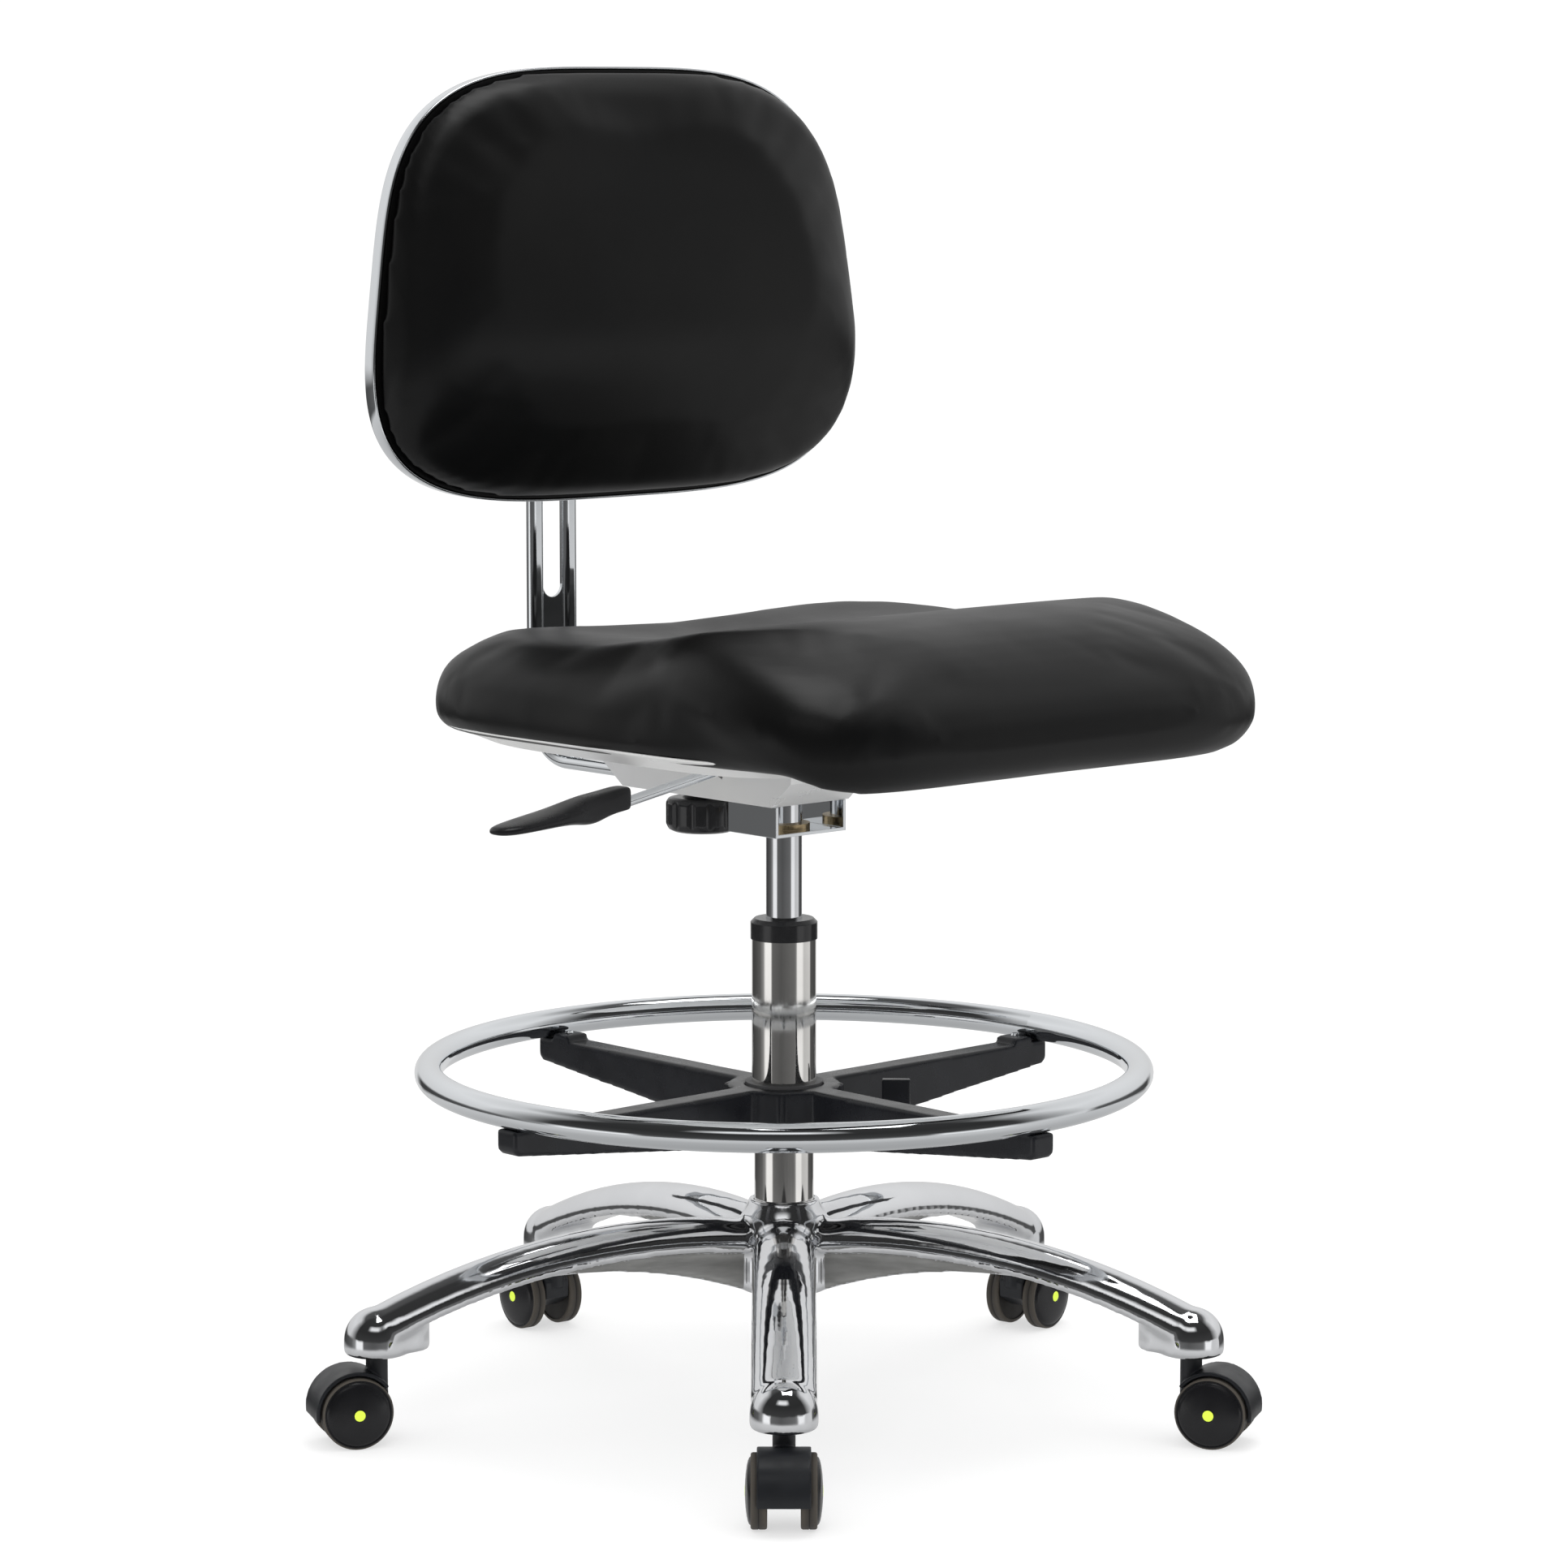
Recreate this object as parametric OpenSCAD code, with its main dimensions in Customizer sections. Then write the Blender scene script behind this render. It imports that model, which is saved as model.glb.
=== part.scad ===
/* [Base] */
// Distance from the centre to each caster stem
base_reach = 326; // [300:1:340]
// Turn of the five-star base about the column
base_turn = 228; // [0:1:359]
// Height of the underside of the caster bosses
boss_z = 68; // [66:1:72]
// Highest point of the legs
leg_top_z = 157; // [150:1:160]
// Width of a leg across its rounded top
leg_w = 48; // [44:1:52]

/* [Casters] */
// Caster wheel diameter
wheel_d = 55; // [50:1:56]
// Distance from the stem to the axle
caster_trail = 20; // [16:1:22]
// Clear gap between the twin wheels
wheel_gap = 24; // [22:1:26]

/* [Column] */
// Diameter of the gas lift's outer tube
column_d = 50; // [50:1:50]
// Diameter of the gas lift's moving tube
lift_d = 28; // [28:1:28]
// Height of the top of the outer tube's collar
collar_z = 388; // [380:1:395]

/* [Foot ring] */
// Radius of the foot ring to the middle of its tube
ring_r = 275; // [255:1:285]
// Diameter of the foot ring's tube
ring_tube_d = 22; // [16:1:24]
// Height of the middle of the ring's tube at rest
ring_z = 270; // [262:1:275]
// Turn of the foot ring about the column
ring_turn = 1; // [-20:1:20]

/* [Seat] */
// Seat cushion width
seat_w = 525; // [480:5:540]
// Seat cushion length, front to back
seat_l = 500; // [460:5:510]
// Height of the cushion's underside
seat_z = 541; // [541:1:545]
// Height of the highest part of the cushion
seat_top_z = 624; // [610:1:628]
// Distance of the seat's middle in front of the column
seat_forward = 69; // [55:1:80]

/* [Backrest] */
// Width of the backrest shell low down
back_w = 514; // [460:2:520]
// Width of the backrest shell high up, as a share of the lower width
back_taper = 0.84; // [0.8:0.01:1]
// Height of the lower edge of the backrest
back_low_z = 702; // [700:1:720]
// Height of the upper edge of the backrest
back_high_z = 1040; // [1000:1:1060]
// Distance of the upright behind the column
upright_y = 280; // [270:1:290]
// Width of the back bar
bar_w = 49; // [46:1:52]

/* [Hidden] */
$fn = 64;

// Clearances: a turning or sliding fit, and a plain gap between moving parts
run_gap = 0.05;
free_gap = 0.3;

// Legs: the top follows an arc in a vertical plane
leg_arc_r = 555;
leg_arc_x = 90;
leg_cap_h = 24;
leg_web_w = 26;
boss_r = leg_w / 2 + 1;
stem_r = 5.5;
stem_top_z = 98;
hub_r = 35;
hub_low_z = 96;
hub_top_z = 168;
column_low_r = 23.1;
column_low_z = 100;

// Gas lift
column_r = column_d / 2;
column_bore_r = 22;
lift_r = lift_d / 2;
lift_bore_r = 12;
lift_low_z = 178;
lift_top_z = 503;
collar_h = 16;
rod_r = 4;
piston_z = 330;
bearing_top_z = 112;

// Seat: the front lip hangs below the pan, which stops short of it
seat_lip_z = 526;
pan_front_cut = 50;

// Mechanism under the seat
housing_w = 80;
housing_z = 480;
sheet = 2.5;
plate_z = 528;
plate_t = 4;
plate_half_w = 105;
plate_front_y = -165;
plate_back_y = 150;
bolt_x = [-85, 85];
bolt_y = [-145, 130];
bolt_r = 3;
channel_w = 72;
channel_front_y = -31;
channel_back_y = 24;
channel_h = 24;
lever_pin_x = -24;
lever_pin_z = 515;
lever_turn_r = 5.5;
valve_r = 3;
valve_top_z = 511.7;

// Back bar: two round-edged ribs joined by a thin web
rib_w = 14.5;
bar_t = 10;
bar_z = housing_z + sheet + free_gap + bar_t / 2;
bar_bend_r = 42;
bar_front_y = 40;
bar_top_z = 880;
web_t = 3;
slot_low_z = 617;
slot_high_z = 860;
stud_y = 95;
stud_slot = 60;
knob_low_z = 446;

// Backrest
back_mid_z = (back_low_z + back_high_z) / 2;
back_h = back_high_z - back_low_z;
shell_front_y = 196;
shell_t = 16;
tray_t = 2;
cushion_front_y = 138;
cushion_inset = 7;
clamp_z = 800;

// Foot ring
arm_w = 22;
arm_top_z = ring_z - ring_tube_d / 2 - 0.1;
arm_end_r = ring_r + 6;
clip_z = arm_top_z + 5;
ring_hub_h = 45;
bush_t = 5;
screw_r = ring_r - 19;
clamp_screw_z = arm_top_z - ring_hub_h + 22;

// Casters
wheel_r = wheel_d / 2;
hood_r = wheel_r + 4;
hood_gap = 0.8;
hood_w = 39;
axle_r = 3;
wheel_w = 16;

// Rounded outline with soft corners: half sizes a and b, squareness n,
// and the width at the top as a share of the width at the bottom
function soft(t, n) = sign(t) * pow(abs(t), 2 / n);
function outline(a, b, n, taper = 1, steps = 72) = [
    for (i = [0 : steps - 1])
        let (u = soft(cos(i * 360 / steps), n), v = soft(sin(i * 360 / steps), n))
            [a * u * (1 - (1 - taper) * (v + 1) / 2), b * v]
];

// Height of a leg's top at distance x from the centre, and of its lower edge
function leg_top(x) = leg_top_z - leg_arc_r + sqrt(leg_arc_r * leg_arc_r - pow(x - leg_arc_x, 2));
function leg_low(x) = leg_top(x) - 22 - 35 * pow((300 - x) / 270, 2);

module tube(r_out, r_in, z_low, z_high) {
    translate([0, 0, z_low]) difference() {
        cylinder(r = r_out, h = z_high - z_low);
        translate([0, 0, -1]) cylinder(r = r_in, h = z_high - z_low + 2);
    }
}

// A box from its two corners
module block(low, high) {
    translate(low) cube(high - low);
}

// A cylinder along Y between two heights of y
module rod_y(r, x, z, y_low, y_high) {
    translate([x, y_high, z]) rotate([90, 0, 0]) cylinder(r = r, h = y_high - y_low);
}

// --- Base ---------------------------------------------------------------

module leg_cap_section() {
    cap_round = 26;
    translate([leg_arc_r - cap_round, 0]) intersection() {
        circle(r = cap_round);
        translate([10, -leg_w / 2]) square([cap_round, leg_w]);
    }
    translate([leg_arc_r - leg_cap_h, -leg_w / 2]) square([9, leg_w]);
}

module leg() {
    tip_angle = 90 - asin((base_reach - leg_arc_x) / leg_arc_r);
    translate([leg_arc_x, 0, leg_top_z - leg_arc_r]) rotate([90, 0, 0]) rotate([0, 0, tip_angle])
        rotate_extrude(angle = 96 - tip_angle, $fn = 180) leg_cap_section();
    steps = 12;
    web_in = 25;
    web_out = 300;
    function at(i) = web_in + (web_out - web_in) * i / steps;
    translate([0, leg_web_w / 2, 0]) rotate([90, 0, 0]) linear_extrude(leg_web_w) polygon(concat(
        [for (i = [0 : steps]) [at(i), leg_top(at(i)) - 12]],
        [for (i = [steps : -1 : 0]) [at(i), leg_low(at(i))]]
    ));
}

module leg_boss() {
    dome_z = leg_top(base_reach) - boss_r;
    dome = [for (a = [0 : 10 : 90]) [boss_r * cos(a), dome_z + boss_r * sin(a)]];
    translate([base_reach, 0, 0]) rotate_extrude($fn = 96)
        polygon(concat([[0, boss_z], [boss_r - 2, boss_z], [boss_r, boss_z + 2]], dome));
    translate([base_reach - 20, 0, boss_z + 3]) cylinder(r = 21, h = 30);
}

module base_star() {
    color("silver") difference() {
        union() {
            rotate_extrude($fn = 128) polygon([
                [0, hub_low_z], [hub_r - 2, hub_low_z], [hub_r, hub_low_z + 3], [hub_r, 145],
                [hub_r - 1, 153], [31, 159], [28.5, 164], [27.5, hub_top_z], [0, hub_top_z]
            ]);
            for (i = [0 : 4]) rotate([0, 0, base_turn + 72 * i]) {
                leg();
                leg_boss();
            }
        }
        translate([0, 0, hub_low_z - 1]) cylinder(r = column_low_r + run_gap, h = hub_top_z);
        for (i = [0 : 4]) rotate([0, 0, base_turn + 72 * i]) translate([base_reach, 0, boss_z - 1])
            cylinder(r = stem_r + run_gap, h = stem_top_z - boss_z + 2);
    }
}

module column_tube() {
    floor_t = 4;
    step_z = 240;
    color("lightgray") rotate_extrude($fn = 128) polygon([
        [rod_r + run_gap, column_low_z], [column_low_r, column_low_z], [column_low_r, step_z],
        [column_r, step_z + 12], [column_r, collar_z - collar_h], [column_bore_r, collar_z - collar_h],
        [column_bore_r, column_low_z + floor_t], [rod_r + run_gap, column_low_z + floor_t]
    ]);
}

module column_collar() {
    low_z = collar_z - collar_h;
    color("dimgray") rotate_extrude($fn = 128) polygon([
        [lift_r + run_gap, low_z - 50], [column_bore_r - run_gap, low_z - 50], [column_bore_r - run_gap, low_z],
        [column_r + 1, low_z], [column_r + 1, collar_z - 3], [column_r - 2, collar_z],
        [lift_r + run_gap, collar_z]
    ]);
}

module thrust_bearing() {
    color("gray") tube(14, rod_r + run_gap, column_low_z + 4, bearing_top_z);
}

// --- Gas lift -----------------------------------------------------------

module piston_rod() {
    color("silver") translate([0, 0, column_low_z - 4]) cylinder(r = rod_r, h = piston_z - column_low_z + 4);
    color("silver") translate([0, 0, bearing_top_z + free_gap]) cylinder(r = 7, h = 4);
    color("silver") translate([0, 0, column_low_z - 5]) cylinder(r = 7, h = 4.5);
}

module piston_head() {
    color("gray") translate([0, 0, piston_z]) cylinder(r = lift_bore_r - run_gap, h = 8);
}

module pressure_tube() {
    end_t = 8;
    top_t = 6;
    color("silver") rotate_extrude($fn = 96) polygon([
        [rod_r + run_gap, lift_low_z], [lift_r - 1, lift_low_z], [lift_r, lift_low_z + 1], [lift_r, lift_top_z],
        [valve_r + run_gap, lift_top_z], [valve_r + run_gap, lift_top_z - top_t],
        [lift_bore_r, lift_top_z - top_t], [lift_bore_r, lift_low_z + end_t],
        [rod_r + run_gap, lift_low_z + end_t]
    ]);
}

module valve_pin() {
    color("gold") translate([0, 0, lift_top_z - 14]) cylinder(r = valve_r, h = valve_top_z - lift_top_z + 14);
}

// --- Mechanism ----------------------------------------------------------

module lift_washer() {
    color("tan") tube(20, lift_r + run_gap, housing_z - channel_h + sheet, housing_z - channel_h + sheet + 4);
}

module seat_channel() {
    low_z = housing_z - channel_h;
    half = channel_w / 2;
    color("silver") difference() {
        block([-half, channel_front_y, low_z], [half, channel_back_y, housing_z]);
        block([sheet - half, channel_front_y - 1, low_z + sheet], [half - sheet, channel_back_y + 1, housing_z + 1]);
        translate([0, 0, low_z - 1]) cylinder(r = lift_r + run_gap, h = sheet + 2);
    }
}

module housing_side(grow = 0) {
    polygon([
        [-52 + grow, housing_z + 20], [-30, housing_z + grow], [145, housing_z + grow],
        [175 + grow, housing_z + 22], [175 + grow, plate_z + grow], [-52 + grow, plate_z + grow]
    ]);
}

module mechanism_housing() {
    half = housing_w / 2;
    vent_w = 8;
    color("gainsboro") difference() {
        rotate([90, 0, 90]) translate([0, 0, -half]) linear_extrude(housing_w) housing_side();
        rotate([90, 0, 90]) translate([0, 0, sheet - half]) linear_extrude(housing_w - 2 * sheet)
            housing_side(grow = sheet);
        for (i = [0 : 2]) translate([0, 28 + 14 * i, housing_z + 25]) rotate([20, 0, 0])
            cube([housing_w + 4, vent_w, 15], center = true);
        translate([0, 0, housing_z - 1]) cylinder(r = lift_r + run_gap, h = 6);
        translate([0, stud_y, housing_z - 1]) cylinder(r = rod_r + run_gap, h = 6);
        block([-half - 1, -8, lever_pin_z - 6], [-half + sheet + 1, 8, plate_z + 1]);
        block([-bar_w / 2 - 1, 142, housing_z + sheet], [bar_w / 2 + 1, 190, bar_z + bar_t / 2 + 1]);
    }
}

module tube_socket() {
    color("gray") tube(20, lift_r + run_gap, housing_z + sheet, lift_top_z - 2);
}

module seat_plate() {
    color("silver") difference() {
        block([-plate_half_w, plate_front_y, plate_z], [plate_half_w, plate_back_y, plate_z + plate_t]);
        for (x = bolt_x, y = bolt_y) translate([x, y, plate_z - 1]) cylinder(r = bolt_r + run_gap, h = plate_t + 2);
    }
}

module seat_bolts() {
    dome = [for (a = [0 : 15 : 90]) [9 * cos(a), plate_z - 9 * sin(a)]];
    color("silver") for (x = bolt_x, y = bolt_y) translate([x, y, 0]) {
        rotate_extrude() polygon(concat([[0, plate_z]], dome));
        translate([0, 0, plate_z]) cylinder(r = bolt_r, h = plate_t);
    }
}

// Shallow tray with sloping sides, cut short behind the cushion's front lip
module seat_pan() {
    floor_z = plate_z + plate_t;
    module tray(low_z, high_z, grow) {
        hull() {
            pan_layer(high_z - 0.01, 20 + grow);
            pan_layer(low_z, 42 + grow);
        }
    }
    module pan_layer(z, inset) {
        translate([0, 0, z]) linear_extrude(0.01)
            polygon(outline(seat_w / 2 - inset, seat_l / 2 - inset - pan_front_cut / 2, 5));
    }
    color("lightgray") translate([0, -seat_forward + pan_front_cut / 2, 0]) difference() {
        tray(floor_z, seat_z, 0);
        tray(floor_z + tray_t, seat_z + 1, tray_t);
    }
}

module seat_cushion() {
    mid_z = seat_z + 24;
    tilt = 1.6;
    front_y = -seat_forward - seat_l / 2;
    module layer(z, inset, squareness, lean = 0) {
        translate([0, -seat_forward, z]) rotate([-lean, 0, 0]) linear_extrude(0.01)
            polygon(outline(seat_w / 2 - inset, seat_l / 2 - inset, squareness, 1, 48));
    }
    color("black") {
        hull() {
            layer(seat_z, 20, 5);
            layer(mid_z - 10, 3, 5.3);
            layer(mid_z, 0, 5.3);
            layer(seat_top_z - 36, 4, 5, tilt);
            layer(seat_top_z - 16, 16, 4.6, tilt);
            layer(seat_top_z - 4, 48, 4.2, tilt);
        }
        // The front lip hangs lower than the rest, ahead of the pan
        intersection() {
            hull() {
                layer(seat_lip_z, 34, 5);
                layer(seat_lip_z + 10, 12, 5.2);
                layer(mid_z, 0, 5.3);
            }
            block([-seat_w, front_y - 5, seat_lip_z - 1], [seat_w, front_y + 62, mid_z - 1]);
        }
    }
}

module lever_bracket() {
    color("gray") for (y = [-10.5, 8]) difference() {
        block([lever_pin_x - 8, y, lever_pin_z - 7], [lever_pin_x + 8, y + 2.5, plate_z]);
        rod_y(2.5 + run_gap, lever_pin_x, lever_pin_z, y - 1, y + 4);
    }
}

module lever_pin() {
    color("silver") rod_y(2.5, lever_pin_x, lever_pin_z, -12, 12);
}

module clamp_strap() {
    half = housing_w / 2 - sheet;
    low_z = bar_z + bar_t / 2 + free_gap;
    color("gray") difference() {
        block([-half, stud_y - 15, low_z], [half, stud_y + 15, low_z + 4]);
        translate([0, stud_y, low_z - 1]) cylinder(r = rod_r + run_gap, h = 6);
    }
}

module lever_rod() {
    rod_tilt = 10;
    rod_len = 158;
    tongue_low = valve_top_z + free_gap;
    color("silver") difference() {
        union() {
            rod_y(lever_turn_r, lever_pin_x, lever_pin_z, -7.5, 7.5);
            block([lever_pin_x, -5, tongue_low], [4, 5, lever_pin_z + 3]);
            translate([lever_pin_x, 0, lever_pin_z + 1]) rotate([0, -90 - rod_tilt, 0]) cylinder(r = 4, h = rod_len);
        }
        rod_y(2.5 + run_gap, lever_pin_x, lever_pin_z, -9, 9);
    }
}

// Flat grip, thick at the neck and thin at the tip
module lever_paddle() {
    neck_x = -160;
    tip_x = -288;
    side = [
        [neck_x, 487], [-196, 480], [-206, 479], [-240, 480], [-270, 478], [tip_x + 4, 478],
        [tip_x, 481], [tip_x + 3, 485], [-250, 492], [-205, 499], [-172, 506], [neck_x, 505]
    ];
    top_half = 17;
    color("black") difference() {
        intersection() {
            translate([0, top_half, 0]) rotate([90, 0, 0]) linear_extrude(2 * top_half) polygon(side);
            translate([0, 0, 470]) linear_extrude(50) polygon([
                [neck_x, -9], [-185, -10], [-215, -15], [-250, -17], [-272, -14], [-284, -8], [tip_x, 0],
                [-284, 8], [-272, 14], [-250, 17], [-215, 15], [-185, 10], [neck_x, 9]
            ]);
        }
        translate([lever_pin_x, 0, lever_pin_z + 1]) rotate([0, -100, 0]) cylinder(r = 4 + run_gap, h = 158.2);
    }
}

// --- Back bar -----------------------------------------------------------

module rib_section() {
    square([rib_w - bar_t, bar_t], center = true);
    for (s = [-1, 1]) translate([s * (rib_w - bar_t) / 2, 0]) circle(d = bar_t);
}

// The bar's path: level under the seat, a quarter bend, then upright
module back_bar() {
    rib_x = (bar_w - rib_w) / 2;
    bend_y = upright_y - bar_bend_r;
    bend_z = bar_z + bar_bend_r;
    web_half = bar_w / 2 - rib_w + 1;
    color("silver") {
        for (s = [-1, 1]) {
            translate([s * rib_x, bend_y, bar_z]) rotate([90, 0, 0]) linear_extrude(bend_y - bar_front_y)
                rib_section();
            translate([s * rib_x, upright_y, bend_z]) linear_extrude(bar_top_z - bend_z) rib_section();
            translate([s * rib_x, bend_y, bend_z]) rotate([0, 90, 0]) rotate_extrude(angle = 90, $fn = 96)
                translate([bar_bend_r, 0]) rotate(90) rib_section();
        }
        block([-web_half, bar_front_y, bar_z - web_t / 2], [web_half, stud_y - stud_slot / 2, bar_z + web_t / 2]);
        block([-web_half, stud_y + stud_slot / 2, bar_z - web_t / 2], [web_half, bend_y, bar_z + web_t / 2]);
        translate([0, bend_y, bend_z]) rotate([0, 90, 0]) rotate_extrude(angle = 90, $fn = 96)
            translate([bar_bend_r, 0]) square([web_t, 2 * web_half], center = true);
        difference() {
            block([-web_half, upright_y - web_t / 2, bend_z], [web_half, upright_y + web_t / 2, bar_top_z]);
            translate([0, upright_y + web_t, 0]) rotate([90, 0, 0]) linear_extrude(2 * web_t) {
                slot_r = bar_w / 2 - rib_w;
                for (z = [slot_low_z + slot_r, slot_high_z - slot_r]) translate([0, z]) circle(r = slot_r);
                translate([-slot_r, slot_low_z + slot_r]) square([2 * slot_r, slot_high_z - slot_low_z - 2 * slot_r]);
            }
        }
    }
}

// Round hand knob with finger flutes, its face down at z = 0
module fluted_knob(r, h, flutes) {
    difference() {
        rotate_extrude($fn = 96) polygon([
            [0, 0], [r - 6, 0], [r - 2, 2], [r, 6], [r, h - 4], [r - 2, h - 1], [r - 6, h], [0, h]
        ]);
        for (i = [0 : flutes - 1]) rotate([0, 0, i * 360 / flutes]) translate([r + 2.5, 0, -1])
            cylinder(r = 4, h = h + 2, $fn = 32);
    }
}

module depth_knob() {
    color("black") difference() {
        translate([0, stud_y, 0]) {
            translate([0, 0, knob_low_z]) fluted_knob(29, 27, 12);
            translate([0, 0, knob_low_z + 27]) cylinder(r1 = 16, r2 = 12, h = housing_z - knob_low_z - 27 - free_gap);
        }
        translate([0, stud_y, knob_low_z + 15]) cylinder(r = rod_r, h = 40);
    }
}

module depth_stud() {
    color("silver") translate([0, stud_y, knob_low_z + 15]) cylinder(r = rod_r, h = 50);
}

// --- Backrest -----------------------------------------------------------

module back_bracket() {
    color("dimgray") difference() {
        block([-34, shell_front_y + shell_t, clamp_z - 70], [34, upright_y - bar_t / 2 - free_gap, clamp_z + 70]);
        block([-26, shell_front_y + shell_t + 8, clamp_z - 71],
            [26, upright_y - bar_t / 2 - free_gap - 5, clamp_z + 71]);
        rod_y(rod_r + run_gap, 0, clamp_z, upright_y - 30, upright_y);
    }
}

module back_clamp_plate() {
    low_y = upright_y + bar_t / 2 + free_gap;
    color("silver") difference() {
        block([-26, low_y, clamp_z - 30], [26, low_y + 4, clamp_z + 30]);
        rod_y(rod_r + run_gap, 0, clamp_z, low_y - 1, low_y + 5);
    }
}

// A slab in the backrest's outline, between two depths
module back_slab(y_low, y_high, inset) {
    translate([0, y_high, back_mid_z]) rotate([90, 0, 0]) linear_extrude(y_high - y_low)
        polygon(outline(back_w / 2 - inset, back_h / 2 - inset, 3.6, back_taper));
}

module back_shell() {
    color("silver") difference() {
        back_slab(shell_front_y, shell_front_y + shell_t, 0);
        back_slab(shell_front_y - 1, shell_front_y + shell_t - tray_t, tray_t);
    }
}

// Plywood board that the cushion is stapled to, inside the shell
module back_board() {
    color("burlywood") back_slab(shell_front_y, shell_front_y + shell_t - tray_t - 0.1, tray_t + 0.5);
}

module back_cushion() {
    depth = shell_front_y - cushion_front_y;
    module layer(y, inset, squareness) {
        translate([0, y, back_mid_z]) rotate([90, 0, 0]) linear_extrude(0.01)
            polygon(outline(back_w / 2 - inset, back_h / 2 - inset, squareness, back_taper, 40));
    }
    color("black") hull() {
        layer(shell_front_y - 0.01, cushion_inset + 3, 3.6);
        layer(shell_front_y - depth * 0.4, cushion_inset, 3.6);
        layer(shell_front_y - depth * 0.75, cushion_inset + 15, 3.4);
        layer(cushion_front_y + 0.01, cushion_inset + 55, 3);
    }
}

module height_knob() {
    low_y = upright_y + bar_t / 2 + 2 * free_gap + 4;
    color("black") translate([0, low_y + 24, clamp_z]) rotate([90, 0, 0]) fluted_knob(22, 24, 8);
    color("silver") rod_y(rod_r, 0, clamp_z, upright_y - 24, low_y + 2);
}

// --- Foot ring ----------------------------------------------------------

module ring_tube() {
    color("silver") translate([0, 0, ring_z]) rotate_extrude($fn = 180)
        translate([ring_r, 0]) circle(d = ring_tube_d, $fn = 48);
}

module ring_spider() {
    bush_r = column_r + run_gap + bush_t;
    hub_low = arm_top_z - ring_hub_h;
    clip_in = ring_r - 30;
    clip_out = ring_r - ring_tube_d / 2 - 0.1;
    color("black") rotate([0, 0, ring_turn]) difference() {
        union() {
            translate([0, 0, hub_low]) cylinder(r = 44, h = ring_hub_h, $fn = 96);
            for (i = [0 : 3]) rotate([0, 0, 90 * i]) {
                translate([0, arm_w / 2, 0]) rotate([90, 0, 0]) linear_extrude(arm_w) polygon([
                    [0, hub_low], [30, hub_low], [70, hub_low + 3], [arm_end_r - 4, arm_top_z - 19],
                    [arm_end_r, arm_top_z - 15], [arm_end_r, arm_top_z], [0, arm_top_z]
                ]);
                block([clip_in, -arm_w / 2, arm_top_z], [clip_out, arm_w / 2, clip_z]);
            }
            for (i = [0 : 3]) rotate([0, 0, 45 + 90 * i]) translate([0, 0, hub_low])
                cylinder(r = 47, h = ring_hub_h, $fn = 4);
        }
        translate([0, 0, hub_low - 1]) cylinder(r = bush_r, h = ring_hub_h + 2, $fn = 96);
        for (i = [0 : 3]) rotate([0, 0, 90 * i]) translate([screw_r, 0, clip_z - 12]) cylinder(r = 2.5, h = 13);
        rotate([0, 90, -45]) translate([-clamp_screw_z, 0, 0]) cylinder(r = 4 + run_gap, h = 60);
    }
}

module ring_bush() {
    color("gray") difference() {
        tube(column_r + bush_t, column_r + run_gap, arm_top_z - ring_hub_h, arm_top_z + 1.5);
        rotate([0, 0, ring_turn - 45]) rotate([0, 90, 0]) translate([-clamp_screw_z, 0, 0])
            cylinder(r = 4 + run_gap, h = 60);
    }
}

module ring_screws() {
    color("silver") rotate([0, 0, ring_turn]) for (i = [0 : 3]) rotate([0, 0, 90 * i])
        translate([screw_r, 0, clip_z]) {
            translate([0, 0, -12]) cylinder(r = 2.5, h = 12);
            cylinder(r1 = 4, r2 = 3, h = 2);
        }
}

// Screw through the ring's hub with an upright thumb tab
module ring_clamp_lever() {
    color("black") rotate([0, 0, ring_turn - 45]) {
        translate([column_r + 1, 0, clamp_screw_z]) rotate([0, 90, 0]) cylinder(r = 4, h = 54);
        translate([50, 0, clamp_screw_z]) rotate([0, 90, 0]) cylinder(r = 8, h = 28);
        block([76, -4, clamp_screw_z - 12], [98, 4, clamp_screw_z + 26]);
    }
}

// --- Casters ------------------------------------------------------------

// Places a caster under leg i, its wheels trailing away from the column
module on_leg(i) {
    rotate([0, 0, base_turn + 72 * (i - 1)]) translate([base_reach, 0, 0]) children();
}

module caster_stem() {
    color("silver") translate([0, 0, 40]) cylinder(r = stem_r, h = stem_top_z - 40);
}

module caster_hood() {
    body_w = wheel_gap - 1;
    color("black") difference() {
        union() {
            translate([caster_trail, hood_w / 2, wheel_r]) rotate([90, 0, 0]) linear_extrude(hood_w)
                difference() {
                    circle(r = hood_r, $fn = 96);
                    circle(r = wheel_r + hood_gap, $fn = 96);
                    polygon([[0, 0], [80, -14], [80, -80], [-80, -80], [-80, 30], [-40, 30]]);
                }
            translate([caster_trail, body_w / 2, wheel_r]) rotate([90, 0, 0]) linear_extrude(body_w)
                intersection() {
                    circle(r = wheel_r + 2, $fn = 96);
                    polygon([[-26, 0], [-8, -10], [8, -10], [20, 4], [22, 20], [10, 30], [-10, 30], [-26, 14]]);
                }
            translate([0, 0, 36]) cylinder(r = 8.4, h = boss_z - 1 - 36);
        }
        translate([0, 0, 40]) cylinder(r = stem_r, h = 60);
        rod_y(axle_r + run_gap, caster_trail, wheel_r, -30, 30);
    }
}

module caster_axle() {
    color("silver") rod_y(axle_r, caster_trail, wheel_r, -22, 22);
}

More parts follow.
